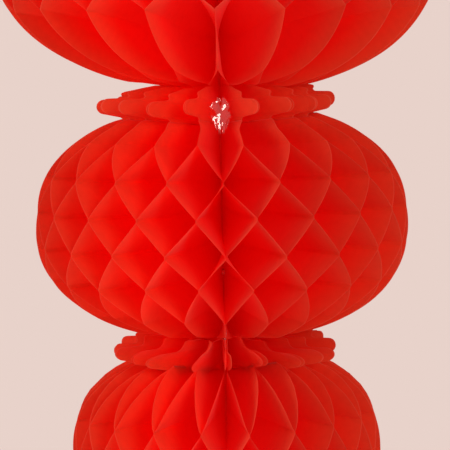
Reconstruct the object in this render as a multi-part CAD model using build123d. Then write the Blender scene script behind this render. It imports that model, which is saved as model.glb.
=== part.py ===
"""A three-tier paper honeycomb decoration that hangs from an eyelet.

One pad of tissue leaves, cut to a stepped outline, is fanned round a glued spine until its first and
last leaves meet. Each leaf is bonded to the leaf before it on one set of glue rows and to the leaf
after it on the rows between, so the open pad is a ring of diamond cells. Every leaf is its own part.

Frame: millimetres, +Z up, the front at -Y. The origin is the centre of the eyelet at the top.
An angle round the spine is measured from the front, and grows towards +X.
"""

from build123d import *
from collections import namedtuple
import math
import os

# ---------------------------------------------------------------- driving dimensions

LEAVES = 40  # sheets in the pad, an even number
TISSUE = 0.15  # thickness that a leaf is modelled at
GLUE_GAP = 0.03  # clearance between a leaf and the plane where it is glued to the next
SEAM_ANGLE = 2.4  # degrees from the front, where the first and last leaves meet

# A tier runs from the neck above it to the neck below it. Its heights are measured from its middle,
# where it is widest: rise and fall to the necks, crown and base to where its rounded outline would
# close. The glue rows are counted in steps of row_pitch from the middle, and rows_over is how many
# steps the row at the neck above is from the tier's top row.
Tier = namedtuple(
    "Tier",
    "radius rise fall crown crown_power base base_power row_pitch top_row bottom_row rows_over "
    "notch_radius",
)
TIERS = [
    Tier(150.0, 111.0, 93.0, 98.0, 2.4, 98.0, 2.1, 21.0, 3, -2, 2, 76.0),
    Tier(125.0, 95.0, 72.0, 81.5, 2.4, 78.0, 2.1, 23.9, 2.5, -2.5, 2, 64.0),
    Tier(102.5, 83.0, 64.0, 66.0, 3.0, 66.0, 2.1, 28.5, 2, -2, 1, 54.0),
]
BASE_END = 0.97  # share of a tier's fall where its outline has come in to the neck
CROWN_POINTS = 2  # corners of the outline between the notch and the top glue row
BASE_POINTS = 4  # corners of the outline between the bottom glue row and the neck
NECK_RADIUS = 38.0  # where two tiers join
TOP_EDGE_RADIUS = 20.0  # half the straight top edge of the pad
BOTTOM_EDGE_RADIUS = 14.0  # half the straight bottom edge of the pad

# The collar that stands on each tier: a rounded tongue with a small step and a square corner above it.
NOTCH_DROP = 2.0  # how far the notch under the tongue cuts below the tier's outline
TONGUE_REACH = 16.0  # from the notch to the tip of the tongue
TONGUE_RADIUS = 5.5  # rounding of the tip
TONGUE_RISE = 8.7  # from the notch up to the middle of the tongue
STEP_RISE = 15.5  # from the notch up to the step
STEP_OUT = 1.0  # how far the step stands outside the notch
CORNER_RISE = 20.0  # from the notch up to the collar's top corner

SPINE_RADIUS = 2.3  # the glued binding that the leaves fan round
SPINE_GAP = 0.3  # from the binding to the leaves' inner edges
THREAD_RADIUS = 0.7  # cotton thread down the middle of the binding
THREAD_GAP = 0.1
KNOT_RADIUS = 1.6
CUT_EXTRA = 1.0  # how far a cut runs on past the solid that it goes through

HANG_DROP = 20.0  # from the eyelet's centre down to the top edge of the pad
CARD = 0.8  # thickness of the card tab and the card button
CARD_GAP = 0.2  # from the card to the edges of the leaves
TAB_WIDTH = 18.0
FOOT_DEPTH = 16.0  # the tab's two folded feet, front to back
KNOT_SLOT_WIDTH = 7.0  # opening in the tab's fold for the upper knot
KNOT_SLOT_HEIGHT = 6.0
BUTTON_RADIUS = 11.0  # card button under the pad

EYELET_BORE_RADIUS = 2.5
EYELET_WALL = 0.5
EYELET_GAP = 0.05  # from the eyelet's barrel to the hole in the card
FLANGE_RIM = 1.6  # how far the eyelet's flanges stand out from its barrel
FLANGE_THICKNESS = 0.4

TAPE = 0.2  # thickness of the clear tape
TAPE_GAP = 0.2  # from the tape to the leaves it closes
TAPE_FOLD_DEPTH = 9.0  # how far a folded tape reaches back over the two leaves
TAPE_EDGE_GAP = 0.4  # from a folded tape's short sides to the step and the corner
BRIDGE_INSET = 14.0  # how far in from the notch the bridging tape spans the seam pocket
BRIDGE_HEIGHT = 14.0
BRIDGE_WING = 6.0  # each side of the bridging tape, stuck along a leaf

GLUE_BEAD_RADIUS = 1.5  # drops that close the seam near the spine
GLUE_BEAD_REACH = 13.0  # how far out each drop sits
GLUE_BEAD_ROWS = (4, 14, 20)  # glue rows, counted down from the top edge

# ---------------------------------------------------------------- values worked out from them

LEAF_ANGLE = 360.0 / LEAVES
HALF_ANGLE = math.radians(LEAF_ANGLE / 2)
INNER_RADIUS = SPINE_RADIUS + SPINE_GAP
TOP_Z = -HANG_DROP


def rows_in(tier):
    return int(tier.top_row - tier.bottom_row) + 1


def tier_levels():
    """The height of each tier's middle, and of the top edge, the necks and the bottom edge."""
    necks, middles = [TOP_Z], []
    for tier in TIERS:
        middles.append(necks[-1] - tier.rise)
        necks.append(middles[-1] - tier.fall)
    return middles, necks


def neck_rows():
    """The number of each neck's glue row, counted down from 0 at the top edge."""
    numbers = [0]
    for tier in TIERS:
        numbers.append(numbers[-1] + tier.rows_over + rows_in(tier))
    return numbers


MIDDLES, NECKS = tier_levels()
NECK_ROWS = neck_rows()
BOTTOM_Z = NECKS[-1]

# ---------------------------------------------------------------- the outline of a leaf


def outline_height(tier, radius):
    """Height of a tier's rounded top above its middle, at a radius."""
    return tier.crown * (1 - (radius / tier.radius) ** tier.crown_power) ** (1 / tier.crown_power)


def outline_radius(tier, height):
    """Radius of a tier's rounded outline at a height above or below its middle."""
    reach, power = (tier.crown, tier.crown_power) if height > 0 else (tier.base, tier.base_power)
    return tier.radius * (1 - (abs(height) / reach) ** power) ** (1 / power)


def collar_points(tier):
    """The collar's outline from its top corner down to the notch, as (radius, height above middle)."""
    notch_z = outline_height(tier, tier.notch_radius) - NOTCH_DROP
    tongue_z = notch_z + TONGUE_RISE
    bend_r = tier.notch_radius + TONGUE_REACH - TONGUE_RADIUS
    points = [
        (tier.notch_radius + STEP_OUT, notch_z + CORNER_RISE),
        (tier.notch_radius + STEP_OUT, notch_z + STEP_RISE),
    ]
    for degrees in (90, 45, 0, -45, -90):
        turn = math.radians(degrees)
        points.append(
            (bend_r + TONGUE_RADIUS * math.cos(turn), tongue_z + TONGUE_RADIUS * math.sin(turn))
        )
    points.append((tier.notch_radius, notch_z))
    return points


def crown_points(tier):
    """Points on the rounded outline between the notch and the top glue row."""
    row_radius = outline_radius(tier, tier.top_row * tier.row_pitch)
    points = []
    for i in range(1, CROWN_POINTS + 1):
        radius = tier.notch_radius + (row_radius - tier.notch_radius) * i / (CROWN_POINTS + 1)
        points.append((radius, outline_height(tier, radius)))
    return points


def base_points(tier, end_radius):
    """Points on the rounded outline between the bottom glue row and the neck below."""
    row_z = tier.bottom_row * tier.row_pitch
    low_z = -BASE_END * tier.fall
    points = []
    for i in range(1, BASE_POINTS + 1):
        z = row_z + (low_z - row_z) * i / BASE_POINTS
        points.append((max(outline_radius(tier, z), end_radius), z))
    return points


def zigzag(row):
    """+1 on even glue rows, -1 on odd ones, and a straight run between."""
    return 1 - 2 * abs((row + 1) % 2 - 1)


def leaf_stations():
    """Lines across the leaf from its top edge to its bottom, as (row, radius, height, side).

    The radius and height are those of the line's outer end. The side is where that end stands between
    the leaf's two glue planes, from -1 to 1. Beyond a tier's last row the glued edges stay together.
    """
    stations = [(0, TOP_EDGE_RADIUS, TOP_Z, zigzag(0))]
    for index, tier in enumerate(TIERS):
        middle, neck_row = MIDDLES[index], NECK_ROWS[index]
        first = neck_row + tier.rows_over
        final = first + rows_in(tier) - 1
        over = collar_points(tier) + crown_points(tier)
        for i, (radius, z) in enumerate(over):
            row = neck_row + tier.rows_over * (i + 1) / (len(over) + 1)
            stations.append((row, radius, middle + z, zigzag(first)))
        for half_step in range(2 * (final - first) + 1):
            row = first + half_step / 2
            z = (tier.top_row - half_step / 2) * tier.row_pitch
            stations.append((row, outline_radius(tier, z), middle + z, zigzag(row)))
        end_radius = BOTTOM_EDGE_RADIUS if index == len(TIERS) - 1 else NECK_RADIUS
        under = base_points(tier, end_radius)
        for i, (radius, z) in enumerate(under):
            row = final + (i + 1) / (len(under) + 1)
            stations.append((row, radius, middle + z, zigzag(final)))
        stations.append((final + 1, end_radius, NECKS[index + 1], zigzag(final + 1)))
    return stations


def spine_height(row):
    """Height where a glue row meets the spine: the rows are evenly spaced between two necks."""
    for index in range(len(TIERS)):
        first, last = NECK_ROWS[index], NECK_ROWS[index + 1]
        if row <= last:
            share = (row - first) / (last - first)
            return NECKS[index] + share * (NECKS[index + 1] - NECKS[index])
    return BOTTOM_Z


# ---------------------------------------------------------------- the leaves


def side_offset(radius, side):
    """Distance from the leaf's middle plane, leaving GLUE_GAP to the glue plane at side 1 or -1."""
    return side * (radius * math.tan(HALF_ANGLE) - TISSUE / 2 - GLUE_GAP)


def leaf_solid(hand):
    """One leaf facing the front: a folded sheet of flat facets. hand is 1, or -1 for its mirror."""
    inner, outer, slants = [], [], []
    for row, radius, z, side in leaf_stations():
        slants.append(abs(zigzag(row)))
        inner.append(
            Vector(hand * side_offset(INNER_RADIUS, zigzag(row)), -INNER_RADIUS, spine_height(row))
        )
        outer.append(Vector(hand * side_offset(radius, side), -radius, z))
    shift = Vector(TISSUE / 2, 0, 0)

    def facet(*corners):
        return Face(Wire.make_polygon(corners, close=True))

    def rim(a, b):
        return facet(a - shift, b - shift, b + shift, a + shift)

    faces = [rim(inner[0], outer[0]), rim(inner[-1], outer[-1])]
    for i in range(len(inner) - 1):
        faces += [rim(inner[i], inner[i + 1]), rim(outer[i], outer[i + 1])]
        # a crease runs out to whichever line is nearer a glue row
        near, far = (i, i + 1) if slants[i] < slants[i + 1] else (i + 1, i)
        for step in (shift, -shift):
            faces.append(facet(inner[near] + step, outer[near] + step, outer[far] + step))
            faces.append(facet(inner[near] + step, outer[far] + step, inner[far] + step))
    return Solid(Shell(faces))


def leaf_angle(number):
    """Angle of a leaf's middle plane round the spine, from 1 beside the seam to LEAVES."""
    return SEAM_ANGLE + (number - 0.5) * LEAF_ANGLE


def make_leaves():
    """Neighbouring leaves are mirror images, so they meet on alternate rows."""
    odd, even = leaf_solid(1), leaf_solid(-1)
    leaves = {}
    for number in range(1, LEAVES + 1):
        solid = odd if number % 2 else even
        leaves[f"leaf_{number:02d}"] = solid.rotate(Axis.Z, leaf_angle(number))
    return leaves


# ---------------------------------------------------------------- the spine and what holds it


def upright_cylinder(radius, low, high):
    return Pos(0, 0, (low + high) / 2) * Cylinder(radius, high - low)


def make_spine():
    bore = THREAD_RADIUS + THREAD_GAP
    binding = upright_cylinder(SPINE_RADIUS, BOTTOM_Z, TOP_Z)
    binding -= upright_cylinder(bore, BOTTOM_Z - CUT_EXTRA, TOP_Z + CUT_EXTRA)
    high_knot = TOP_Z + CARD_GAP + CARD + KNOT_RADIUS
    low_knot = BOTTOM_Z - CARD_GAP - CARD - KNOT_RADIUS
    thread = upright_cylinder(THREAD_RADIUS, low_knot, high_knot)
    for z in (low_knot, high_knot):
        thread += Pos(0, 0, z) * Sphere(KNOT_RADIUS)
    button_high = BOTTOM_Z - CARD_GAP
    button_low = button_high - CARD
    button = upright_cylinder(BUTTON_RADIUS, button_low, button_high)
    button -= upright_cylinder(bore, button_low - CUT_EXTRA, button_high + CUT_EXTRA)
    return {"spine_binding": binding, "spine_thread": thread, "bottom_button": button}


def make_hanger():
    """A card tab folded to an upside-down T, and the metal eyelet that the hook goes through."""
    foot_low = TOP_Z + CARD_GAP
    foot_high = foot_low + CARD
    barrel_radius = EYELET_BORE_RADIUS + EYELET_WALL
    tab = Pos(0, 0, (foot_low + foot_high) / 2) * Box(TAB_WIDTH, FOOT_DEPTH, CARD)
    tab += Pos(0, 0, foot_high / 2) * Box(TAB_WIDTH, CARD, -foot_high)
    tab += Rot(90, 0, 0) * Cylinder(TAB_WIDTH / 2, CARD)
    through = CARD + 2 * CUT_EXTRA
    tab -= Rot(90, 0, 0) * Cylinder(barrel_radius + EYELET_GAP, through)
    slot_middle = foot_high + KNOT_SLOT_HEIGHT / 2
    tab -= Pos(0, 0, slot_middle) * Box(KNOT_SLOT_WIDTH, through, KNOT_SLOT_HEIGHT)
    tab -= upright_cylinder(THREAD_RADIUS + THREAD_GAP, foot_low - CUT_EXTRA, foot_high + CUT_EXTRA)

    eyelet = Cylinder(barrel_radius, CARD)
    for end in (-1, 1):
        flange = Cylinder(barrel_radius + FLANGE_RIM, FLANGE_THICKNESS)
        eyelet += Pos(0, 0, end * (CARD + FLANGE_THICKNESS) / 2) * flange
    eyelet -= Cylinder(EYELET_BORE_RADIUS, through + 2 * FLANGE_THICKNESS)
    return {"hang_tab": tab, "hang_eyelet": Rot(90, 0, 0) * eyelet}


# ---------------------------------------------------------------- what closes the ring


def standing_strip(points, low, high):
    """A strip of tape on edge, TAPE thick, that follows points in plan and is turned to the seam."""
    plan = trace(Polyline(*points), TAPE)
    return (Pos(0, 0, low) * extrude(plan, high - low)).rotate(Axis.Z, SEAM_ANGLE)


def folded_tape(index):
    """Tape folded over both leaves at the seam, on the upright edge of a tier's collar."""
    tier = TIERS[index]
    notch_z = MIDDLES[index] + outline_height(tier, tier.notch_radius) - NOTCH_DROP
    wing = GLUE_GAP + TISSUE + TAPE_GAP + TAPE / 2
    edge = (tier.notch_radius + STEP_OUT) / math.cos(HALF_ANGLE)
    front = edge + TAPE_GAP + TAPE / 2
    back = edge - TAPE_FOLD_DEPTH
    points = [(-wing, -back), (-wing, -front), (wing, -front), (wing, -back)]
    return standing_strip(
        points, notch_z + STEP_RISE + TAPE_EDGE_GAP, notch_z + CORNER_RISE - TAPE_EDGE_GAP
    )


def bridging_tape(index):
    """Tape across the open pocket at the seam, its sides stuck along the two leaves."""
    tier = TIERS[index]
    low = MIDDLES[index] + outline_height(tier, tier.notch_radius)
    pocket = math.radians(LEAF_ANGLE)
    inset = (GLUE_GAP + TISSUE + TAPE_GAP + TAPE) / math.cos(pocket)
    back = tier.notch_radius - BRIDGE_INSET
    points = []
    for side, reach in ((-1, back + BRIDGE_WING), (-1, back), (1, back), (1, back + BRIDGE_WING)):
        points.append((side * (reach * math.tan(pocket) - inset), -reach))
    return standing_strip(points, low, low + BRIDGE_HEIGHT)


def make_closures():
    """Tape where the seam's leaves meet at a collar or open a pocket there, and drops of glue inside."""
    beads = []
    for row in GLUE_BEAD_ROWS:
        bead = Pos(0, -GLUE_BEAD_REACH, spine_height(row)) * Sphere(GLUE_BEAD_RADIUS)
        beads.append(bead.rotate(Axis.Z, SEAM_ANGLE))
    return {
        "top_tape": bridging_tape(0),
        "neck_tape": bridging_tape(1),
        "waist_tape": folded_tape(2),
        "seam_glue": Compound(children=[bead.solid() for bead in beads]),
    }


# ---------------------------------------------------------------- write the parts

parts = {**make_spine(), **make_hanger(), **make_closures(), **make_leaves()}
os.makedirs("parts", exist_ok=True)
for name, shape in parts.items():
    export_step(shape, f"parts/{name}.step")
print(len(parts), "parts written; tier middles", [round(z, 1) for z in MIDDLES])
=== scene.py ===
# %% [markdown]
# # A hanging three-tier honeycomb decoration in red tissue paper
#
# The real thing is a pad of forty sheets of tissue, cut to one stepped outline and glued to each other
# along short rows, first on one side and then on the other. Fanned round its spine until the first and
# last sheets meet, the pad opens into a ring of diamond-shaped cells. This file builds what shows: the
# sheets with their cells and collars, the tape that closes the ring, the card tab and the thread.
#
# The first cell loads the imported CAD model. It is the frame: every piece here is in metres in the same
# place, and rides on one of its bodies, so the fan can be folded afterwards.

# %% Load the frame
import math
from collections import namedtuple

import bpy
import numpy as np
from mathutils import Matrix, Vector


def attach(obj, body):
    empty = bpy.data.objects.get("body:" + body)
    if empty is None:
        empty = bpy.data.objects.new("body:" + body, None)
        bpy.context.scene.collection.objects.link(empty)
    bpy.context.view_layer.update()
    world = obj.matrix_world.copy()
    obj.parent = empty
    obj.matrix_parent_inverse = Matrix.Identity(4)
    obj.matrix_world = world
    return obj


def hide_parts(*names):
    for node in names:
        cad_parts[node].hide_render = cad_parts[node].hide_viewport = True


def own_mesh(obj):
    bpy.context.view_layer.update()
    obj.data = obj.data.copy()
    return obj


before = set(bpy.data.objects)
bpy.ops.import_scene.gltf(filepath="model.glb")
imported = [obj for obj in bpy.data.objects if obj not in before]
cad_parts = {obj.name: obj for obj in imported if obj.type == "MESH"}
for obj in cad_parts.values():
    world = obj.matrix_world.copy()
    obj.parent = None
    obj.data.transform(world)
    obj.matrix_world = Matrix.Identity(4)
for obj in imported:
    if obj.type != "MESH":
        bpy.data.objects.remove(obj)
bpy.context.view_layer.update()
MM = 0.001

# %% [markdown]
# Colours are given the way a paint picker shows them, as sRGB hex, but Blender's shaders add and
# multiply light, which only works on linear values. One function turns the first into the second.
# A second small function adds a node, sets its options and inputs, and links what feeds it, so that a
# material reads as a short list.

# %% Helpers for colours and nodes


def colour(hex_code):
    """An sRGB hex colour as linear red, green, blue and alpha."""
    channels = [int(hex_code[i : i + 2], 16) / 255 for i in (1, 3, 5)]
    linear = [c / 12.92 if c <= 0.04045 else ((c + 0.055) / 1.055) ** 2.4 for c in channels]
    return (*linear, 1.0)


def add_node(tree, kind, inputs=None, **settings):
    """A node with its settings made, and each input given a value or another node's output."""
    node = tree.nodes.new(kind)
    for name, value in settings.items():
        setattr(node, name, value)
    for name, value in (inputs or {}).items():
        if isinstance(value, bpy.types.NodeSocket):
            tree.links.new(value, node.inputs[name])
        else:
            node.inputs[name].default_value = value
    return node


def new_material(name):
    """An empty material with its output node."""
    material = bpy.data.materials.new(name)
    material.use_nodes = True
    material.node_tree.nodes.clear()
    return material, material.node_tree, material.node_tree.nodes.new("ShaderNodeOutputMaterial")


print("helpers ready; pure red in linear light is", [round(c, 3) for c in colour("#FF0000")])

# %% [markdown]
# ## The sheets' outline
#
# The cutting die gives every sheet the same outline: three rounded tiers, with a small stepped collar
# and a round tongue on top of each. The numbers are the pad's own, in millimetres. Heights inside a
# tier are measured from its middle, and glue rows are counted down from the top edge.

# %% The pad's sizes
LEAVES = 40
LEAF_ANGLE = 360 / LEAVES
SEAM_ANGLE = 2.4  # degrees from the front to where the first and the last sheet meet
INNER_RADIUS = 2.6  # of the sheets' inner edges
TOP_Z = -20.0  # the pad's top edge, under the eyelet's centre
NECK_RADIUS = 38.0
TOP_EDGE_RADIUS = 20.0
BOTTOM_EDGE_RADIUS = 14.0
# rise and fall: from the middle to the necks. crown and base: to where the rounded outline would close.
# rows: heights of the glue rows. rows_over: rows from the neck above to the first of them.
# notch to corner_out: the collar's notch and how far it cuts in, then the tongue's reach, the step, and
# the corner, up from the notch and out from it.
Tier = namedtuple(
    "Tier",
    "radius rise fall crown crown_power base base_power rows rows_over "
    "notch notch_drop reach step corner corner_out",
)
UPPER_ROWS = (63, 42, 21, 0, -21, -42)
MIDDLE_ROWS = (59.8, 35.6, 12, -12, -34.5, -59)
LOWER_ROWS = (60.2, 27, 0, -27, -54)
TIERS = [
    Tier(150.0, 111.0, 93.0, 98.0, 2.4, 96.3, 2.25, UPPER_ROWS, 2, 76.0, 2.0, 16.0, 17.0, 20.0, 1.0),
    Tier(125.0, 95.0, 72.0, 81.5, 2.4, 76.5, 2.25, MIDDLE_ROWS, 2, 64.0, 2.0, 16.0, 16.5, 20.0, 1.0),
    Tier(103.8, 83.0, 64.0, 72.0, 2.7, 66.0, 2.1, LOWER_ROWS, 1, 54.0, 7.0, 21.0, 17.5, 24.0, 6.0),
]
middles, necks, neck_rows = [], [TOP_Z], [0]
for tier in TIERS:
    middles.append(necks[-1] - tier.rise)
    necks.append(middles[-1] - tier.fall)
    neck_rows.append(neck_rows[-1] + tier.rows_over + len(tier.rows))
LAST_ROW = neck_rows[-1]
print("tier middles", middles, "necks", necks, "on rows", neck_rows)

# %% [markdown]
# The outline is kept as a list of stations. Each says how far down the glue rows it is, its radius and
# height, and which side of the sheet's wedge its edge stands on: +1 and -1 are the two glue planes.
# Between rows the edge swings from one side to the other, which makes the cells. Above a tier's first
# row and below its last, the edges stay bonded in pairs, and that makes the collar and the long petals.

# %% The outline's stations
NODE_FLAT = 1.09  # the swing is cut off at its ends, so a bond is about 2 mm tall and not a point
PAIRED = 0.5  # share of the way from a tier's last row to the neck where the edges are still in pairs
PAIRING = 0.22  # share of a collar's length in which its edges come together from the neck's pairs
TONGUE_RADIUS = 5.0
TONGUE_HEIGHT = 0.63  # the tongue's middle over the notch, as a share of the step
ROUNDING = 1.8  # mm at the collar's inside corners
BASE_END = 0.97  # share of a tier's fall where its outline has come in to the neck
LOOSE_END = 0.6  # share of the way from the notch to the first row where a collar stops being loose
ROW_STEPS = (0.0, 0.035, 0.07, 0.12, 0.2, 0.3, 0.42, 0.58, 0.7, 0.8, 0.88, 0.93, 0.965)


def swing(row):
    """The side at a glue row: +1 on even rows, -1 on odd ones, nearly straight between them."""
    sharp = NODE_FLAT * (1 - 2 * np.abs((np.asarray(row, float) + 1) % 2 - 1))
    return np.clip(sharp, -1, 1)


def crown_height(tier, radius):
    return tier.crown * (1 - (radius / tier.radius) ** tier.crown_power) ** (1 / tier.crown_power)


def tier_radius(tier, height):
    reach, power = (tier.crown, tier.crown_power) if height > 0 else (tier.base, tier.base_power)
    return tier.radius * (1 - min(abs(height) / reach, 1) ** power) ** (1 / power)


def arc(centre, radius, start, stop, steps):
    """Points round an arc, as (radius, height)."""
    angles = np.radians(np.linspace(start, stop, steps))
    return [(centre[0] + radius * math.cos(a), centre[1] + radius * math.sin(a)) for a in angles]


def along(points, spacing):
    """Points spread evenly along a broken line."""
    points = np.array(points, float)
    lengths = np.concatenate([[0], np.cumsum(np.linalg.norm(np.diff(points, axis=0), axis=1))])
    spots = np.linspace(0, lengths[-1], max(2, round(lengths[-1] / spacing) + 1))
    return np.stack([np.interp(spots, lengths, points[:, i]) for i in range(points.shape[1])], 1)


def collar_line(tier, neck):
    """The collar from the neck above to the tier's top row, as (radius, height over its middle, loose)."""
    notch_z = crown_height(tier, tier.notch) - tier.notch_drop
    corner = (tier.notch + tier.corner_out, notch_z + tier.corner)
    tongue_z = notch_z + TONGUE_HEIGHT * tier.step
    line = [neck, (0.6 * neck[0] + 0.4 * corner[0], 0.55 * neck[1] + 0.45 * corner[1] + 1.2)]
    line += arc((corner[0] - 1.5, corner[1] - 1.5), 1.5, 90, 0, 5)
    line += arc((corner[0] + 0.8, notch_z + tier.step + 1.0), ROUNDING, 180, 270, 5)
    line += arc((tier.notch + tier.reach - TONGUE_RADIUS, tongue_z), TONGUE_RADIUS, 80, -88, 15)
    line += arc((tier.notch + ROUNDING, notch_z + 1.6), ROUNDING - 0.1, 100, 250, 7)
    line = [(radius, height, 1.0) for radius, height in line]
    row_radius = max(tier.notch, tier_radius(tier, tier.rows[0]))
    for share in np.linspace(0.06, 1, 12):
        if row_radius > tier.notch + 1:
            radius = tier.notch + (row_radius - tier.notch) * share
            line.append((radius, crown_height(tier, radius), max(0, 1 - share / LOOSE_END) ** 2))
    return line


Station = namedtuple("Station", "row radius height side loose")


def smooth(share):
    share = min(1, max(0, share))
    return share * share * (3 - 2 * share)


def outline_stations():
    """Stations from the top edge to the bottom edge."""
    found = []
    for index, tier in enumerate(TIERS):
        middle, neck_row = middles[index], neck_rows[index]
        first = neck_row + tier.rows_over
        final = neck_rows[index + 1] - 1
        neck_radius = NECK_RADIUS if index else TOP_EDGE_RADIUS
        over = along(collar_line(tier, (neck_radius, tier.rise)), 1.5)
        for i, (radius, height, loose) in enumerate(over[:-1]):
            share = i / (len(over) - 1)
            blend = smooth(share / PAIRING)
            side = float(swing(neck_row)) * (1 - blend) + float(swing(first)) * blend
            found.append(Station(neck_row + tier.rows_over * share, radius, middle + height, side, loose))
        notch_z = crown_height(tier, tier.notch) - tier.notch_drop
        for i, (high, low) in enumerate(zip(tier.rows, tier.rows[1:])):
            for step in ROW_STEPS:
                height = high + (low - high) * step
                radius = tier_radius(tier, height)
                if i == 0 and high >= notch_z - 0.5:
                    # the first row ends in the notch, and the outline runs out from there over the crown
                    out = math.sin(step * math.pi / 2) ** 0.9
                    radius = tier.notch + (tier_radius(tier, low) - tier.notch) * out
                    height = min(crown_height(tier, radius), notch_z + 3.2 * (radius - tier.notch))
                side = float(swing(i + first + step))
                found.append(Station(first + i + step, radius, middle + height, side, 0.0))
        end_radius = NECK_RADIUS if index < len(TIERS) - 1 else BOTTOM_EDGE_RADIUS
        heights = np.linspace(tier.rows[-1], -BASE_END * tier.fall, 40)
        under = [(max(tier_radius(tier, z), end_radius), z) for z in heights]
        under = along(under + [(end_radius, -tier.fall)], 2.4)
        for i, (radius, height) in enumerate(under[:-1]):
            share = i / (len(under) - 1)
            blend = smooth((share - PAIRED) / (1 - PAIRED))
            side = float(swing(final)) * (1 - blend) + float(swing(final + 1)) * blend
            found.append(Station(final + share, radius, middle + height, side, 0.0))
    found.append(Station(LAST_ROW, BOTTOM_EDGE_RADIUS, necks[-1], float(swing(LAST_ROW)), 0.0))
    return found


stations = outline_stations()
print(len(stations), "stations; widest", max(s.radius for s in stations), "mm")

# %% [markdown]
# Paper doesn't open like clockwork. Each bond sits a little off its place, the tiers hang and twist
# slightly against each other, and the loose tongues lean away from the seam. The lowest collar is the
# worst: its top edge is drawn in to the seam, and its tongues stick out at all angles.
# All of it belongs to the bond and not to the sheet, so two neighbours stay together.

# %% Small irregularities
rng = np.random.default_rng(20)
bond_turn = rng.normal(0, 0.28, (LEAVES, LAST_ROW + 1))  # degrees
bond_drop = rng.normal(0, 0.55, (LEAVES, LAST_ROW + 1))  # mm
collar_turn = rng.normal(0, 1.0, (LEAVES, len(TIERS)))
collar_drop = np.abs(rng.normal(0, 1.0, (LEAVES, len(TIERS))))
collar_part = rng.normal(0, 1.0, (LEAVES, len(TIERS)))
COLLAR_TURN = (0.8, 1.2, 4.5)  # degrees that a tier's tongues vary by, in pairs
COLLAR_PART = (0.3, 0.6, 3.0)  # degrees that one sheet's tongue parts from its pair
COLLAR_DROP = (0.5, 0.5, 2.6)  # mm that a tongue droops
LEAN = (0.0, 10.5, 6.0)  # degrees that a tongue near the front leans away from the seam
TWIST_HEIGHTS = (-538, -474, -445, -416, -319, -172, -20)
TWIST_ANGLES = (-1.8, -1.8, -1.6, -0.5, 0.4, -1.4, -1.4)
COLLAR_TILT = 0.5  # mm that a collar stands higher on the right than its middle
COLLAR_SHIFT = 2.6  # mm that the middle collar is pushed over to the left
LOWEST_LIFT = 3.0  # mm that the lowest collar stands higher at its two sides
BASE_TILT = (2.7, 1.7, 0.0)  # mm that each tier's base hangs lower on the right than in its middle
LEFT_SHARE = 0.4  # most of that tilt that shows on the left


def lean(angle, index):
    """Degrees that a collar's tongue leans away from the seam, for a bond at an angle from the front."""
    away = (angle + 180) % 360 - 180
    fading = math.exp(-((max(0, abs(away) - 45) / 70) ** 2))
    return LEAN[index] * math.copysign(1, away) * min(1, abs(away) / LEAF_ANGLE) * fading


def pull(angle):
    """Degrees that the lowest collar's top edge is drawn to the seam, where film gathers the sheets."""
    away = (angle + 180) % 360 - 180
    fading = math.exp(-((max(0, abs(away) - 55) / 40) ** 2))
    return -math.copysign(min(13, 0.5 * abs(away)), away) * fading


print("largest bond offset", round(float(np.abs(bond_turn).max()), 2), "degrees")

# %% [markdown]
# ## One sheet
#
# A sheet is a grid of points: stations down its edge, and columns from the spine out to the edge. Each
# line across it is straight, because a glue row is a straight line of glue. The mesh is written
# directly, since a simulation would have to find a shape that the glue rows already fix.
#
# Two things are stored for the paper's material: where a point is on the flat sheet, and how far it is
# from the cut edge.

# %% The sheet's mesh
COLUMNS = 1 - (1 - np.linspace(0, 1, 15)) ** 1.5
inner_heights = np.interp([s.row for s in stations], neck_rows, necks)


def tier_of(row):
    return max(i for i in range(len(TIERS)) if row >= neck_rows[i])


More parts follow.
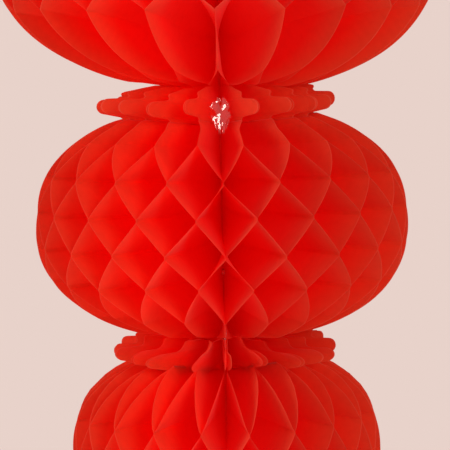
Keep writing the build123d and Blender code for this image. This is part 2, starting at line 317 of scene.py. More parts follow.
def sheet_points(number):
    """The points of a sheet, from 1 to 40 round the ring, as rows by columns by xyz in millimetres."""
    hand = 1 if number % 2 else -1
    points = np.zeros((len(stations), len(COLUMNS), 3))
    for i, station in enumerate(stations):
        index = tier_of(station.row)
        low, high = math.floor(station.row), min(math.ceil(station.row), LAST_ROW)
        first, final = neck_rows[index] + TIERS[index].rows_over, neck_rows[index + 1] - 1
        if station.row < first:
            low = high = first
        elif station.row > final:
            low = high = final
        share = station.row - low if high > low else 0.0
        turn = drop = 0.0
        for row, weight in ((low, 1 - share), (high, share)):
            bond = number if hand * float(swing(row)) > 0 else number - 1
            turn += weight * bond_turn[bond % LEAVES, row]
            drop += weight * bond_drop[bond % LEAVES, row]
        if station.row < first or station.row > final:
            reach = min(1.0, (station.radius - NECK_RADIUS * 0.8) / 30)
            turn, drop = turn * reach, drop * reach
        middle_angle = SEAM_ANGLE + (number - 0.5) * LEAF_ANGLE
        side = swing(station.row) * (1 - COLUMNS) + station.side * COLUMNS
        radius = INNER_RADIUS + (station.radius - INNER_RADIUS) * COLUMNS
        flare = np.zeros(len(COLUMNS))
        if station.loose > 0:
            bond = number if hand * float(swing(first)) > 0 else number - 1
            bond_angle = SEAM_ANGLE + bond * LEAF_ANGLE
            right = math.sin(math.radians(bond_angle))
            outer = TIERS[index].notch + TIERS[index].reach
            inner = 0.9 * NECK_RADIUS
            bent = station.loose * np.clip((radius - inner) / (outer - inner), 0, 1) ** 2
            flare = lean(bond_angle, index) + collar_turn[bond % LEAVES, index] * COLLAR_TURN[index]
            flare = (flare + collar_part[number - 1, index] * COLLAR_PART[index]) * bent
            if index == 2:
                notch_z = crown_height(TIERS[2], TIERS[2].notch) - TIERS[2].notch_drop
                lifted = smooth((station.height - middles[2] - notch_z - 8) / (TIERS[2].corner - 8))
                flare = flare + pull(bond_angle - SEAM_ANGLE) * lifted * COLUMNS**1.5 * station.loose
            drop += station.loose * (
                COLLAR_TILT * right * (index == 1)
                + LOWEST_LIFT * abs(right) * (index == 2)
                - collar_drop[bond % LEAVES, index] * COLLAR_DROP[index]
            )
            radius = radius - bent * COLLAR_SHIFT * right * (index == 1)
        else:
            under = (middles[index] - 0.3 * TIERS[index].fall - station.height) / (0.5 * TIERS[index].fall)
            under = smooth(under) * smooth((station.radius - NECK_RADIUS) / 18)
            right = math.sin(math.radians(middle_angle))
            drop -= BASE_TILT[index] * max(right, -LEFT_SHARE) * under
        height = inner_heights[i] + (station.height + drop - inner_heights[i]) * COLUMNS
        twist = np.interp(height, TWIST_HEIGHTS, TWIST_ANGLES)
        angle = middle_angle + hand * side * (LEAF_ANGLE / 2 - 0.02) + turn * COLUMNS + flare + twist
        turned = np.radians(angle)
        points[i] = np.stack([radius * np.sin(turned), -radius * np.cos(turned), height], 1)
    return points


def sheet_mesh(name, points):
    """A mesh from a grid of points, with its flat place as a UV map and its distance from the edge."""
    rows, columns = points.shape[:2]
    index = np.arange(rows * columns).reshape(rows, columns)
    quads = np.stack([index[:-1, :-1], index[:-1, 1:], index[1:, 1:], index[1:, :-1]], -1).reshape(-1, 4)
    mesh = bpy.data.meshes.new(name)
    mesh.from_pydata((points.reshape(-1, 3) * MM).tolist(), [], quads.tolist())
    across = np.linalg.norm(points - points[:, :1], axis=2)
    from_edge = across[:, -1:] - across
    attribute = mesh.attributes.new("from_edge", "FLOAT", "POINT")
    attribute.data.foreach_set("value", from_edge.ravel().astype(np.float32) * MM)
    flat = np.stack([across, points[:, :, 2]], -1).reshape(-1, 2) * MM
    uv = mesh.uv_layers.new(name="flat_sheet")
    uv.data.foreach_set("uv", flat[quads.ravel()].astype(np.float32).ravel())
    mesh.shade_smooth()
    mesh.validate()
    return mesh


first_sheet = sheet_points(1)
print("one sheet has", first_sheet.shape[0] * first_sheet.shape[1], "points")

# %% [markdown]
# ## Red tissue
#
# Tissue paper is thin enough to let light through. Some light is scattered back from the face, and some
# comes out behind, redder, because it has met more dye. A Principled shader does the first and a
# Translucent shader the second. The cut edge is fuzzy with fibre ends, and it is painted lighter there, a
# painted highlight for the light it catches. The colour is also painted paler towards the cells' openings
# and a purer, darker red deep in the cells: painted light and painted shade. Clouds a few millimetres
# across show where the fibres lie thicker.

# %% Tissue paper material
CLOUD = 5.0  # mm across one thicker patch
FIBRE = 0.9  # mm, drawn about ten times too coarse, or it wouldn't show
# A Mix node has sockets of the same names for numbers, vectors and colours, so the colour ones go by number.
COLOUR_A, COLOUR_B, COLOUR_OUT = 6, 7, 2
THROUGH = 0.55  # share of the light that goes through the sheet instead of back
tissue, tree, output = new_material("dyed_tissue_paper")
flat = add_node(tree, "ShaderNodeUVMap", uv_map="flat_sheet").outputs["UV"]
from_edge = add_node(tree, "ShaderNodeAttribute", attribute_name="from_edge").outputs["Fac"]
clouds = add_node(tree, "ShaderNodeTexNoise", {"Vector": flat, "Scale": 1 / (CLOUD * MM), "Detail": 4.0})
fibre_place = add_node(tree, "ShaderNodeMapping", {"Vector": flat, "Scale": (1.0, 0.3, 1.0)})
fibres = add_node(
    tree,
    "ShaderNodeTexNoise",
    {"Vector": fibre_place.outputs["Vector"], "Scale": 1 / (FIBRE * MM), "Detail": 2.0, "Distortion": 0.6},
)
# painted highlight: the paper is painted lighter within 0.9 mm of its cut edge
painted_edge_highlight = add_node(
    tree,
    "ShaderNodeMapRange",
    {"Value": from_edge, "From Min": 0.0, "From Max": 0.9 * MM, "To Min": 1.0, "To Max": 0.0},
)
# painted light and shade: paler near the edge, a purer, darker red from 1 to 32 mm in, deep in the cells
painted_depth_light_and_shade = add_node(
    tree,
    "ShaderNodeMapRange",
    {"Value": from_edge, "From Min": 1.0 * MM, "From Max": 32 * MM, "To Min": 1.0, "To Max": 0.0},
)
# the purer red of the painted shade deep in the cells, and the paler colour of the painted light near the
# openings
body = add_node(
    tree,
    "ShaderNodeMix",
    {0: painted_depth_light_and_shade.outputs["Result"], COLOUR_A: colour("#FF220E"), COLOUR_B: colour("#F05C38")},
    data_type="RGBA",
)
# the lighter colour of the painted highlight along the cut edge
painted_edge_colour = add_node(
    tree,
    "ShaderNodeMix",
    {0: painted_edge_highlight.outputs["Result"], COLOUR_A: body.outputs[COLOUR_OUT], COLOUR_B: colour("#F48262")},
    data_type="RGBA",
)
cloud_light = add_node(
    tree,
    "ShaderNodeMapRange",
    {"Value": clouds.outputs["Fac"], "From Min": 0.3, "From Max": 0.7, "To Min": 0.94, "To Max": 1.04},
)
paper_colour = add_node(
    tree,
    "ShaderNodeMix",
    {0: 1.0, COLOUR_A: painted_edge_colour.outputs[COLOUR_OUT], COLOUR_B: cloud_light.outputs["Result"]},
    data_type="RGBA",
    blend_type="MULTIPLY",
)
paper_bump = add_node(
    tree,
    "ShaderNodeBump",
    {"Height": fibres.outputs["Fac"], "Strength": 0.12, "Distance": 0.1 * MM},
)
paper_roughness = add_node(
    tree, "ShaderNodeMapRange", {"Value": fibres.outputs["Fac"], "To Min": 0.7, "To Max": 0.86}
)
paper_front = add_node(
    tree,
    "ShaderNodeBsdfPrincipled",
    {
        "Base Color": paper_colour.outputs[COLOUR_OUT],
        "Roughness": paper_roughness.outputs["Result"],
        "Specular IOR Level": 0.15,
        "Sheen Weight": 0.12,
        "Sheen Roughness": 0.5,
        "Normal": paper_bump.outputs["Normal"],
    },
)
paper_through = add_node(
    tree,
    "ShaderNodeBsdfTranslucent",
    {"Color": colour("#FF1408"), "Normal": paper_bump.outputs["Normal"]},
)
paper = add_node(
    tree,
    "ShaderNodeMixShader",
    {0: THROUGH, 1: paper_front.outputs["BSDF"], 2: paper_through.outputs["BSDF"]},
)
tree.links.new(paper.outputs["Shader"], output.inputs["Surface"])
print("tissue paper:", len(tree.nodes), "nodes")

# %% [markdown]
# The forty sheets go round the ring. Each one stands in for its CAD solid and rides on its own body,
# except the first, which rides on the spine. A real sheet flattens when the pad is folded shut.

# %% The forty sheets
for number in range(1, LEAVES + 1):
    node = f"leaf_{number:02d}"
    name = f"tissue_sheet_{number:02d}"
    mesh = sheet_mesh(name, sheet_points(number))
    mesh.materials.append(tissue)
    sheet = bpy.data.objects.new(name, mesh)
    bpy.context.scene.collection.objects.link(sheet)
    across = math.radians(SEAM_ANGLE + (number - 0.5) * LEAF_ANGLE)
    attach(sheet, "spine" if number == 1 else node)
    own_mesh(sheet)
    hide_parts(node)
print("made", LEAVES, "sheets of", len(mesh.polygons), "faces")

# %% [markdown]
# ## The small pieces
#
# The rest is small: the films that close the ring, drops of glue on the seam, the binding and the thread
# in it, the card tab with its eyelet, and the card button. They are written as meshes too, from a few
# shapes: a grid of points, a profile turned round a line, and a cord of twisted plies along a path.

# %% Shapes for the small pieces


def grid_faces(rows, columns, closed=False):
    """Quads over a grid of points, joined round at the end of each row where it is closed."""
    index = np.arange(rows * columns).reshape(rows, columns)
    if closed:
        index = np.hstack([index, index[:, :1]])
    corners = [index[:-1, :-1], index[:-1, 1:], index[1:, 1:], index[1:, :-1]]
    return np.stack(corners, -1).reshape(-1, 4).tolist()


def put(name, points, faces, material, body, node):
    """A mesh from points in millimetres, which rides on a body and stands in for a CAD node."""
    mesh = bpy.data.meshes.new(name)
    mesh.from_pydata((np.asarray(points, float).reshape(-1, 3) * MM).tolist(), [], faces)
    mesh.materials.append(material)
    mesh.shade_smooth()
    mesh.validate()
    thing = bpy.data.objects.new(name, mesh)
    bpy.context.scene.collection.objects.link(thing)
    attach(thing, body)
    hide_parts(node)
    print(name, "has", len(mesh.polygons), "faces")
    return thing


def turned(profile, steps, about_y=False):
    """Points of a profile of (radius, height) turned round Z, or round Y."""
    profile = np.array(profile, float)
    turns = np.linspace(0, 2 * math.pi, steps, endpoint=False)
    across, away = np.outer(profile[:, 0], np.cos(turns)), np.outer(profile[:, 0], np.sin(turns))
    height = np.repeat(profile[:, 1:], steps, axis=1)
    return np.stack([across, height, away] if about_y else [across, away, height], -1)


PLY_DEPTH = 0.28  # how deep the groove between two plies is, as a share of a cord's radius


def cord_points(path, radius, pitch, sides=18, plies=3):
    """Rings along a path, each with a bulge for every ply, turning once in the pitch."""
    path = np.array(path, float)
    along_path = np.gradient(path, axis=0)
    along_path /= np.linalg.norm(along_path, axis=1)[:, None]
    run = np.concatenate([[0], np.cumsum(np.linalg.norm(np.diff(path, axis=0), axis=1))])
    normal = np.cross(along_path[0], (0.3, 1.0, 0.1))
    rings = []
    for here, ahead, length in zip(path, along_path, run):
        normal = normal - ahead * np.dot(normal, ahead)
        normal /= np.linalg.norm(normal)
        other = np.cross(ahead, normal)
        round_it = np.linspace(0, 2 * math.pi, sides, endpoint=False)
        ply_turn = plies / 2 * (round_it - 2 * math.pi * length / pitch)
        bulge = radius * (1 - PLY_DEPTH + PLY_DEPTH * np.abs(np.cos(ply_turn)))
        sideways = np.outer(bulge * np.cos(round_it), normal) + np.outer(bulge * np.sin(round_it), other)
        rings.append(here + sideways)
    return np.array(rings)


def capped(rows, sides):
    """Faces of a closed tube of rings with both ends shut."""
    ends = [list(range(sides))[::-1], list(range((rows - 1) * sides, rows * sides))]
    return grid_faces(rows, sides, True) + ends


# %% [markdown]
# Clear film is drawn as a glossy skin with low alpha: most of what is behind shows through, and the gloss
# gives the white glints. The creases are real folds in the mesh, because only a facet that faces halfway
# between the lamp and the eye can glint. Dried glue is nearly the same stuff, only thicker and duller.

# %% Film and glue materials
film, tree, output = new_material("clear_adhesive_film")
at = add_node(tree, "ShaderNodeTexCoord").outputs["Object"]
ripple = add_node(tree, "ShaderNodeTexNoise", {"Vector": at, "Scale": 1 / (4.0 * MM), "Detail": 2.0})
film_bump = add_node(
    tree, "ShaderNodeBump", {"Height": ripple.outputs["Fac"], "Strength": 0.3, "Distance": 0.4 * MM}
)
film_skin = add_node(
    tree,
    "ShaderNodeBsdfPrincipled",
    {
        "Base Color": colour("#FF3A1E"),
        "Roughness": 0.1,
        "Alpha": 0.3,
        "IOR": 3.0,
        "Coat Weight": 1.0,
        "Coat Roughness": 0.05,
        "Coat IOR": 3.0,
        "Normal": film_bump.outputs["Normal"],
        "Coat Normal": film_bump.outputs["Normal"],
    },
)
tree.links.new(film_skin.outputs["BSDF"], output.inputs["Surface"])

glue, tree, output = new_material("dried_clear_glue")
at = add_node(tree, "ShaderNodeTexCoord").outputs["Object"]
lumps = add_node(tree, "ShaderNodeTexNoise", {"Vector": at, "Scale": 1 / (1.2 * MM), "Detail": 2.0})
glue_bump = add_node(
    tree, "ShaderNodeBump", {"Height": lumps.outputs["Fac"], "Strength": 0.3, "Distance": 0.3 * MM}
)
glue_skin = add_node(
    tree,
    "ShaderNodeBsdfPrincipled",
    {
        "Base Color": colour("#F4DCD0"),
        "Roughness": 0.16,
        "Alpha": 0.75,
        "Coat Weight": 0.6,
        "Coat Roughness": 0.06,
        "Normal": glue_bump.outputs["Normal"],
    },
)
tree.links.new(glue_skin.outputs["BSDF"], output.inputs["Surface"])
print("film and glue:", film.name, "and", glue.name)

# %% [markdown]
# The two bridging films span the open pocket between the first and the last sheet, and were pressed on
# by hand, so they are creased all over and end in torn points. The third is folded over the two edges.

# %% Films at the seam
POCKET = math.radians(LEAF_ANGLE)
FILM_ROWS, FILM_COLUMNS = 44, 49
FILM_TOP = 12.5  # mm that the middle of its top edge is over the notch
FILM_DROP = 17.0  # mm from there down to its bottom corners
FILM_POINT = 5.0  # mm that the middle of its bottom edge hangs lower than those
FILM_ARCH = 5.0  # mm that its top corners are lower than the middle between them
FILM_REACH = (50.0, 51.0, 53.0, 55.5)  # radius of its front, from its top down, at the middle tier
WING_START = 0.76  # share of half its width where it turns to lie along a sheet
WAIST_ROWS, WAIST_COLUMNS = 24, 31  # of the film that is folded over the edges at the lowest collar
WAIST_HALF_TURN = 0.25  # share of half its width that goes round the edges
WAIST_WING = 11.0  # mm towards the spine that a side covers in half the film's width
crease_rng = np.random.default_rng(11)


def creased(across, down, folds, depth):
    """Height of a crumpled film over its own flat plane, in millimetres: folds are sharp, facets flat."""
    total = np.zeros_like(across)
    for _ in range(folds):
        heading, shift = crease_rng.uniform(0, math.pi), crease_rng.uniform(0, 1)
        wave = crease_rng.uniform(5, 12)
        place = (across * math.cos(heading) + down * math.sin(heading)) / wave + shift
        total += depth * wave / 12 * (2 * np.abs(place - np.round(place)) - 0.5)
    return total


def seam_turned(points):
    """Points made in front of the spine, turned round to the seam."""
    angle = math.radians(SEAM_ANGLE)
    x, y = points[..., 0].copy(), points[..., 1].copy()
    points[..., 0] = x * math.cos(angle) - y * math.sin(angle)
    points[..., 1] = x * math.sin(angle) + y * math.cos(angle)
    return points


def bridging_film(index):
    """A film across the seam's pocket at the collar of a tier: front across, wings along the sheets."""
    tier = TIERS[index]
    notch_z = middles[index] + crown_height(tier, tier.notch)
    down, across = np.meshgrid(
        np.linspace(0, 1, FILM_ROWS), np.linspace(-1, 1, FILM_COLUMNS), indexing="ij"
    )
    ragged = 1.6 * np.sin(11 * across + 1.0) + 1.1 * np.sin(23 * across)
    height = notch_z + FILM_TOP - FILM_DROP * down + ragged * (2 * down - 1) ** 3
    height -= FILM_POINT * (1 - across**2) * down**3
    height -= FILM_ARCH * across**2 * (1 - down) ** 2
    front = np.interp(down, (0, 0.3, 0.6, 1), np.array(FILM_REACH) + tier.notch - TIERS[1].notch)
    width = np.interp(down, (0, 0.15, 0.55, 1), (0.75, 1.0, 1.0, 0.45))
    bent = np.clip(np.abs(across) / WING_START, 0, 1) * width
    wing = np.clip((np.abs(across) - WING_START) / (1 - WING_START), 0, 1)
    wing = wing * np.interp(down, (0, 0.5, 1), (2.5, 5.0, 1.0))
    reach = front + wing - 2.2 * (1 - bent**2) * down
    x = np.sign(across) * ((bent * (front + wing)) * math.tan(POCKET) - 0.9 * bent)
    folds = creased(x, height, 5, 0.55) * (1 - 0.85 * bent**3)
    return seam_turned(np.stack([x, -reach - folds, height], -1))


film_grid = grid_faces(FILM_ROWS, FILM_COLUMNS)
for name, index, node in (("top_film", 0, "top_tape"), ("neck_film", 1, "neck_tape")):
    crumpled = put(name, bridging_film(index), film_grid, film, "leaf_40", node)
    across = math.radians(SEAM_ANGLE + (LEAVES - 0.5) * LEAF_ANGLE)
    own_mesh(crumpled)

lower = TIERS[2]
low = middles[2] + crown_height(lower, lower.notch) - lower.notch_drop + lower.step
down, round_edge = np.meshgrid(
    np.linspace(0, 1, WAIST_ROWS), np.linspace(-1, 1, WAIST_COLUMNS), indexing="ij"
)
height = low + 13 - 15 * down + 0.7 * np.sin(3 * round_edge + 9 * down)
bend = np.clip(np.abs(round_edge) / WAIST_HALF_TURN, 0, 1) * math.pi / 2
back = np.clip(np.abs(round_edge) - WAIST_HALF_TURN, 0, 1)
side = np.sign(round_edge) * (0.75 * np.sin(bend) + 0.5 * back)
reach = lower.notch + 2.2 - 0.6 * (1 - np.cos(bend)) - WAIST_WING * back
side = side + creased(reach, height, 4, 0.22)
folded = seam_turned(np.stack([side, -reach, height], -1))
waist_grid = grid_faces(WAIST_ROWS, WAIST_COLUMNS)
waist = put("waist_film", folded, waist_grid, film, "leaf_40", "waist_tape")
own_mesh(waist)

# %% [markdown]
# Three drops of clear glue hold the first and the last sheet together, close to the spine. A drop is a
# ball with a slightly wavy profile. It is taller than it is wide, and widest below its middle, because
# glue sags before it dries. The three are one piece.

# %% Drops of glue on the seam
DROP_REACH, DROP_RADIUS = 13.0, 1.5
DROP_ROWS = (4, 14, 20)  # glue rows, counted down from the top edge
RINGS, SIDES = 13, 20
drops, faces = [], []
for number, row in enumerate(DROP_ROWS):
    share = np.linspace(0, math.pi, RINGS)
    swell = DROP_RADIUS * (1 + 0.12 * np.sin(5 * share + number))
    ball = turned(np.stack([swell * np.sin(share), 1.25 * swell * np.cos(share)], 1), SIDES)
    ball[..., 0] *= 0.8 + 0.25 * np.clip(-ball[..., 2], 0, 2) / DROP_RADIUS
    middle = float(np.interp(row, [s.row for s in stations], inner_heights))
    drops.append(seam_turned(ball + np.array((0, -DROP_REACH, middle))))
    faces += (np.array(grid_faces(RINGS, SIDES, True)) + number * RINGS * SIDES).tolist()
glue_drops = put("seam_glue_drops", np.concatenate(drops), faces, glue, "spine", "seam_glue")
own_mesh(glue_drops)

# %% [markdown]
# The binding is forty paper edges side by side in dried glue, so its colour and its bumps run in streaks
# along it. The glue on it gives a faint gloss.

# %% Binding material
RIB = 0.5  # mm across one streak
binding_paper, tree, output = new_material("glued_paper_edges")
at = add_node(tree, "ShaderNodeTexCoord").outputs["Object"]
lengthwise = add_node(tree, "ShaderNodeMapping", {"Vector": at, "Scale": (1.0, 1.0, 0.03)})
ribs = add_node(
    tree, "ShaderNodeTexNoise", {"Vector": lengthwise.outputs["Vector"], "Scale": 1 / (RIB * MM)}
)
rib_colour = add_node(
    tree,
    "ShaderNodeMix",
    {0: ribs.outputs["Fac"], COLOUR_A: colour("#FF1E0C"), COLOUR_B: colour("#FF5A3A")},
    data_type="RGBA",
)
rib_bump = add_node(
    tree, "ShaderNodeBump", {"Height": ribs.outputs["Fac"], "Strength": 0.6, "Distance": 0.2 * MM}
)
edges = add_node(
    tree,
    "ShaderNodeBsdfPrincipled",
    {
        "Base Color": rib_colour.outputs[COLOUR_OUT],
        "Roughness": 0.6,
        "Specular IOR Level": 0.25,
        "Coat Weight": 0.15,
        "Coat Roughness": 0.3,
        "Normal": rib_bump.outputs["Normal"],
    },
)
tree.links.new(edges.outputs["BSDF"], output.inputs["Surface"])
print(binding_paper.name, "has", len(tree.nodes), "nodes")

# %% [markdown]
# Cotton is quite matt. Fine lint makes its colour and its surface uneven, and gives a soft sheen where it
# is seen edge on.

# %% Cotton material
LINT = 0.25  # mm
cotton, tree, output = new_material("twisted_cotton")
at = add_node(tree, "ShaderNodeTexCoord").outputs["Object"]
lint = add_node(tree, "ShaderNodeTexNoise", {"Vector": at, "Scale": 1 / (LINT * MM), "Detail": 3.0})
lint_colour = add_node(
    tree,
    "ShaderNodeMix",
    {0: lint.outputs["Fac"], COLOUR_A: colour("#CFC5B2"), COLOUR_B: colour("#F2ECDF")},
    data_type="RGBA",
)
lint_bump = add_node(
    tree, "ShaderNodeBump", {"Height": lint.outputs["Fac"], "Strength": 0.5, "Distance": 0.1 * MM}
)
yarn = add_node(
    tree,
    "ShaderNodeBsdfPrincipled",
    {
        "Base Color": lint_colour.outputs[COLOUR_OUT],
        "Roughness": 0.92,
        "Specular IOR Level": 0.2,
        "Sheen Weight": 0.35,
        "Sheen Roughness": 0.5,
        "Normal": lint_bump.outputs["Normal"],
    },
)
tree.links.new(yarn.outputs["BSDF"], output.inputs["Surface"])
print(cotton.name, "has", len(tree.nodes), "nodes")

# %% [markdown]
# Pressed card is pale pulp with darker flecks, nearly matt. The eyelet is brass, rolled and then handled:
# a metal takes its colour from its reflections, so only its roughness varies, in smudges.

# %% Card and brass materials
card, tree, output = new_material("pressed_card")
at = add_node(tree, "ShaderNodeTexCoord").outputs["Object"]
pulp = add_node(tree, "ShaderNodeTexNoise", {"Vector": at, "Scale": 1 / (0.8 * MM), "Detail": 5.0})
pulp_colour = add_node(
    tree,
    "ShaderNodeMix",
    {0: pulp.outputs["Fac"], COLOUR_A: colour("#D9CDB4"), COLOUR_B: colour("#F1E9D8")},
    data_type="RGBA",
)
pulp_bump = add_node(
    tree, "ShaderNodeBump", {"Height": pulp.outputs["Fac"], "Strength": 0.25, "Distance": 0.1 * MM}
)
board = add_node(
    tree,
    "ShaderNodeBsdfPrincipled",
    {
        "Base Color": pulp_colour.outputs[COLOUR_OUT],
        "Roughness": 0.78,
        "Specular IOR Level": 0.3,
        "Normal": pulp_bump.outputs["Normal"],
    },
)
tree.links.new(board.outputs["BSDF"], output.inputs["Surface"])

brass, tree, output = new_material("rolled_brass")
at = add_node(tree, "ShaderNodeTexCoord").outputs["Object"]
wear = add_node(tree, "ShaderNodeTexNoise", {"Vector": at, "Scale": 1 / (1.5 * MM), "Detail": 4.0})
wear_roughness = add_node(
    tree, "ShaderNodeMapRange", {"Value": wear.outputs["Fac"], "To Min": 0.16, "To Max": 0.38}
)
metal = add_node(
    tree,
    "ShaderNodeBsdfPrincipled",
    {"Base Color": colour("#DDB978"), "Metallic": 1.0, "Roughness": wear_roughness.outputs["Result"]},
)
tree.links.new(metal.outputs["BSDF"], output.inputs["Surface"])
print("card and metal:", card.name, "and", brass.name)

# %% [markdown]
# The binding is a long turned profile with a rib for each sheet. The cotton thread is three plies
# twisted together. It is drawn as three cords: one through the binding, and one at each end, which
# leaves the binding and is wrapped about twice round itself.

# %% Binding and thread
BINDING_RADIUS, THREAD_RADIUS = 2.3, 0.7
CARD_THICKNESS, CARD_GAP = 0.8, 0.2
BINDING_ROWS, BINDING_SIDES = 150, 160
KNOT_TURNS = 2.2
KNOT_RADIUS = 1.25  # of the thread's middle where it winds round itself
top_z, bottom_z = necks[0], necks[-1]
heights = np.linspace(top_z, bottom_z, BINDING_ROWS)
glue_swell = BINDING_RADIUS - 0.08 + 0.05 * np.sin(heights / 7.3) + 0.03 * np.sin(heights / 2.1)
binding_points = turned(np.stack([glue_swell, heights], 1), BINDING_SIDES)
ribbing = 1 + 0.02 * np.cos(LEAVES * np.linspace(0, 2 * math.pi, BINDING_SIDES, endpoint=False))
binding_points[..., :2] *= ribbing[None, :, None]
binding_faces = capped(BINDING_ROWS, BINDING_SIDES)
put("spine_edges", binding_points, binding_faces, binding_paper, "spine", "spine_binding")


def wrapped_end(base, away):
    """A thread's end: up its own line, over, and twice round itself, from a base height, up or down."""
    path = [(0, 0, base + away * rise) for rise in np.linspace(-1.5, 4.0, 16)]
    for turn_share in np.linspace(0, 1, 60):
        around = 2 * math.pi * KNOT_TURNS * turn_share
        out = KNOT_RADIUS * min(1, turn_share / 0.08 + 0.15)
        up = base + away * (4.2 - 3.3 * turn_share)
        path.append((out * math.sin(around), out * (1 - math.cos(around)) - out, up))
    last = np.array(path[-1])
    heading = last - np.array(path[-2])
    heading = heading / np.linalg.norm(heading)
    return np.array(path + [tuple(last + heading * step) for step in (0.6, 1.2, 1.8)])


knot_points, faces, used = [], [], 0
for base, away in ((top_z + CARD_GAP + CARD_THICKNESS, 1), (bottom_z - CARD_GAP - CARD_THICKNESS, -1)):
    rings = cord_points(wrapped_end(base, away), THREAD_RADIUS * 0.82, 2.6)
    knot_points.append(rings.reshape(-1, 3))
    faces += [[corner + used for corner in face] for face in capped(len(rings), 18)]
    used += len(rings) * 18
inner = [(0, 0, z) for z in np.linspace(bottom_z - 1.5, top_z + 1.5, 500)]
rings = cord_points(inner, THREAD_RADIUS * 0.95, 5.0, sides=12)
knot_points.append(rings.reshape(-1, 3))
faces += [[corner + used for corner in face] for face in capped(len(rings), 12)]
put("twisted_thread", np.concatenate(knot_points), faces, cotton, "spine", "spine_thread")

# %% [markdown]
# The tab is card folded to an upside-down T: an upright with a rounded top, and two feet bent out at the
# fold. The upright is a flat curve with two holes, given thickness and a small bevel by the curve itself.

# %% Card tab
TAB_HALF, FOOT_REACH = 9.0, 8.0
FOOT_COLUMNS = 25
SLOT_HALF, SLOT_HEIGHT = 3.5, 6.0
EYELET_HOLE, HOLE_TURN = 3.05, 6.15  # radius, and radians to its last corner; the curve closes itself
UPRIGHT_HALF = 0.985 * TAB_HALF  # the bevel brings it out to the full width
foot_top = top_z + CARD_GAP + CARD_THICKNESS


def flat_outline(curve, corners):
    """Adds a closed outline of straight steps to a flat curve, from points in millimetres."""
    spline = curve.splines.new("POLY")
    spline.points.add(len(corners) - 1)
    for point, (x, z) in zip(spline.points, corners):
        point.co = (x * MM, z * MM, 0, 1)
    spline.use_cyclic_u = True


upright = bpy.data.curves.new("card_upright", "CURVE")
upright.dimensions, upright.fill_mode = "2D", "BOTH"
upright.extrude, upright.bevel_depth, upright.bevel_resolution = 0.3 * MM, 0.1 * MM, 2
dome = [(UPRIGHT_HALF * math.cos(t), UPRIGHT_HALF * math.sin(t)) for t in np.linspace(0, math.pi, 40)]
flat_outline(upright, [(UPRIGHT_HALF, foot_top - 0.3)] + dome + [(-UPRIGHT_HALF, foot_top - 0.3)])
hole = [(EYELET_HOLE * math.cos(t), EYELET_HOLE * math.sin(t)) for t in np.linspace(0, HOLE_TURN, 40)]
flat_outline(upright, hole)
slot_corners = [
    (math.copysign(SLOT_HALF - 0.8, x) + 0.8 * math.cos(t), foot_top + 0.9 + z + 0.8 * math.sin(t))
    for x, z, start in ((1, 0, -90), (1, SLOT_HEIGHT - 2, 0), (-1, SLOT_HEIGHT - 2, 90), (-1, 0, 180))
    for t in np.radians(np.linspace(start, start + 90, 6))
]
flat_outline(upright, slot_corners)
upright.materials.append(card)
stands = bpy.data.objects.new("card_tab_upright", upright)
stands.rotation_euler = (math.pi / 2, 0, 0)
bpy.context.scene.collection.objects.link(stands)
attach(stands, "spine")
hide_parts("hang_tab")

fold = [(0.2, foot_top + 0.4 + rise) for rise in (0.0, -0.4)]
for turn_share in np.linspace(0.2, math.pi / 2, 8):
    fold.append((1.1 - 0.9 * math.cos(turn_share), foot_top + 0.35 - 0.95 * math.sin(turn_share)))
for out in np.linspace(1.8, FOOT_REACH, 12):
    fold.append((out, foot_top - 0.6 + 0.012 * (out - 1.1) ** 2))
for side_name, hand in (("front", -1), ("back", 1)):
    across, away = np.meshgrid(np.linspace(-TAB_HALF, TAB_HALF, FOOT_COLUMNS), [hand * f[0] for f in fold])
    up = np.repeat(np.array([f[1] for f in fold])[:, None], FOOT_COLUMNS, axis=1)
    foot_points = np.stack([across, away, up], -1)
    foot_faces = grid_faces(len(fold), FOOT_COLUMNS)
    foot = put(f"card_foot_{side_name}", foot_points, foot_faces, card, "spine", "hang_tab")
    thick = foot.modifiers.new("card_thickness", "SOLIDIFY")
    thick.thickness, thick.offset = 0.38 * MM, 0
print("feet reach", FOOT_REACH, "mm each way")

# %% [markdown]
# The eyelet and the button are round, so each is a profile turned round a line. The eyelet's rim is
# rolled over on both sides of the card. The button is stamped, which leaves a shallow ring in its face.

# %% Eyelet and button
EYELET_SIDES, BUTTON_SIDES = 72, 96
rim = [(2.55, 0.0), (2.5, 0.3), (2.55, 0.62), (2.8, 0.82), (3.4, 0.9)]
rim += [(4.1, 0.82), (4.5, 0.62), (4.55, 0.45), (3.0, 0.42)]
ring_profile = rim[::-1] + [(radius, -height) for radius, height in rim[1:]]
ring_points = turned(ring_profile, EYELET_SIDES, about_y=True)
ring_faces = grid_faces(len(ring_profile), EYELET_SIDES, True)
put("rolled_eyelet", ring_points, ring_faces, brass, "spine", "hang_eyelet")

button_top = bottom_z - CARD_GAP
button_profile = [(0.8, 0.0), (9.6, 0.0), (10.7, -0.12), (10.95, -0.4), (10.7, -0.68)]
button_profile += [(9.8, -0.8), (9.2, -0.72), (8.8, -0.6), (8.2, -0.58), (7.8, -0.72)]
button_profile += [(7.2, -0.8), (0.95, -0.8), (0.8, -0.7), (0.8, 0.0)]
button_points = turned([(radius, button_top + height) for radius, height in button_profile], BUTTON_SIDES)
button_faces = grid_faces(len(button_profile), BUTTON_SIDES, True)
put("card_button", button_points, button_faces, card, "spine", "bottom_button")

# %% [markdown]
# ## Backdrop, light and camera
#
# The decoration hangs well clear of a pale floor, which fades out far away, so that it has no edge.

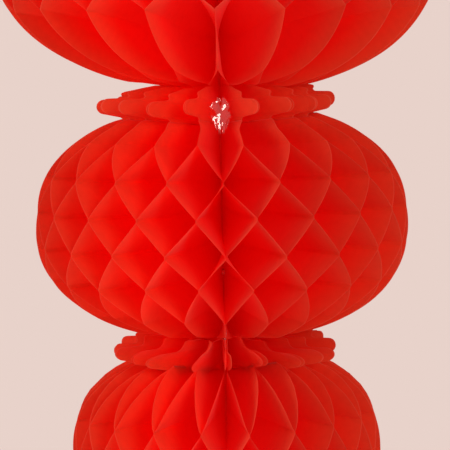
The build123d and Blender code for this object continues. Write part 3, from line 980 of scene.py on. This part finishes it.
# %% Floor
FLOOR_Z = -1.3  # m under the eyelet
FADE_START, FADE_END = 2.6, 5.2  # m out from the middle
FLOOR_SIDES = 96
floor_paint, tree, output = new_material("pale_floor")
at = add_node(tree, "ShaderNodeTexCoord").outputs["Object"]
from_middle = add_node(tree, "ShaderNodeVectorMath", {0: at}, operation="LENGTH")
fade = add_node(
    tree,
    "ShaderNodeMapRange",
    {
        "Value": from_middle.outputs["Value"],
        "From Min": FADE_START,
        "From Max": FADE_END,
        "To Min": 1.0,
        "To Max": 0.0,
    },
)
plain = add_node(
    tree,
    "ShaderNodeBsdfPrincipled",
    {
        "Base Color": colour("#F8EDE9"),
        "Roughness": 0.8,
        "Specular IOR Level": 0.2,
        "Alpha": fade.outputs["Result"],
        "Emission Color": colour("#E8D2CA"),
        "Emission Strength": 0.22,
    },
)
tree.links.new(plain.outputs["BSDF"], output.inputs["Surface"])
disc = turned([(0.001, 0.0), (2000, 0.0), (4000, 0.0), (5400, 0.0)], FLOOR_SIDES)
floor_mesh = bpy.data.meshes.new("floor")
floor_mesh.from_pydata((disc.reshape(-1, 3) * MM).tolist(), [], grid_faces(4, FLOOR_SIDES, True))
floor_mesh.materials.append(floor_paint)
floor = bpy.data.objects.new("floor", floor_mesh)
floor.location = (0, 0, FLOOR_Z)
bpy.context.scene.collection.objects.link(floor)
print("floor is", -FLOOR_Z, "m below the eyelet")

# %% [markdown]
# The wall is only a background colour, and only the camera sees it. The decoration gets a weaker, nearly
# white light from all round instead, like light off a room's walls.

# %% Wall colour and light from all round
WALL = "#E8D2CA"
AMBIENT = 0.385
world = bpy.data.worlds.new("pale_room")
bpy.context.scene.world = world
world.use_nodes = True
tree = world.node_tree
tree.nodes.clear()
ray = add_node(tree, "ShaderNodeLightPath")
seen = add_node(tree, "ShaderNodeBackground", {"Color": colour(WALL), "Strength": 1.0})
ambient = add_node(tree, "ShaderNodeBackground", {"Color": colour("#FFF4EE"), "Strength": AMBIENT})
both = add_node(
    tree,
    "ShaderNodeMixShader",
    {0: ray.outputs["Is Camera Ray"], 1: ambient.outputs["Background"], 2: seen.outputs["Background"]},
)
add_node(tree, "ShaderNodeOutputWorld", {"Surface": both.outputs["Shader"]})
print("wall", WALL, "and light from all round at", AMBIENT)

# %% [markdown]
# Two large round lamps stand for a window at the right of the front and a bright doorway far round to
# the left. The window shines into the cells, which shows their walls. The doorway lights the left side,
# where some of its light comes through the thin sheets.

# %% Lights
AIM = Vector((0, 0, -0.3))


def area_light(name, place, size, power, hex_code):
    light = bpy.data.lights.new(name, "AREA")
    light.shape, light.size, light.energy = "DISK", size, power
    light.color = colour(hex_code)[:3]
    lamp = bpy.data.objects.new(name, light)
    lamp.location = place
    lamp.rotation_mode = "QUATERNION"
    lamp.rotation_quaternion = (AIM - Vector(place)).to_track_quat("-Z", "Y")
    bpy.context.scene.collection.objects.link(lamp)
    return lamp


# name, place in metres, width in metres, power in watts, colour
area_light("window", (1.1, -2.2, 0.4), 1.0, 17, "#FFF4EA")
area_light("doorway", (-2.6, -0.9, 0.3), 1.8, 40, "#FFF2F0")
print("two lamps, aimed", -AIM.z, "m below the eyelet")

# %% [markdown]
# The camera stands a little below the middle of the upper tier and looks slightly down, through a long
# lens, which keeps the tiers nearly in their true proportions. In a deep cell, red light goes from wall
# to wall many times before it is spent, so the light paths are allowed to be long. The Standard view
# shows the colours as they come, without the softer highlights of Blender's usual view.

# %% Camera
LENS, SENSOR = 262.6, 36.0  # mm
EYE = Vector((0.002, -2.2, -0.149))
CAMERA_TURN, CAMERA_PITCH, CAMERA_ROLL = 1.5, 4.42, 1.2  # degrees: round the spine, down, and roll
camera = bpy.data.cameras.new("camera")
camera.sensor_width, camera.lens = SENSOR, LENS
camera.clip_end = 50
viewer = bpy.data.objects.new("camera", camera)
turn = Matrix.Rotation(math.radians(CAMERA_TURN), 4, "Z")
tilt = Matrix.Rotation(math.radians(90 - CAMERA_PITCH), 4, "X")
roll = Matrix.Rotation(math.radians(-CAMERA_ROLL), 4, "Z")
place = Matrix.Translation(turn @ EYE)
viewer.matrix_world = place @ turn @ tilt @ roll
bpy.context.scene.collection.objects.link(viewer)
bpy.context.scene.camera = viewer
bpy.context.scene.view_settings.view_transform = "Standard"
light_paths = bpy.context.scene.cycles
light_paths.max_bounces = 64
light_paths.diffuse_bounces = 48
light_paths.transmission_bounces = 64
print("camera is", round(-EYE.y, 2), "m away with a", LENS, "mm lens")
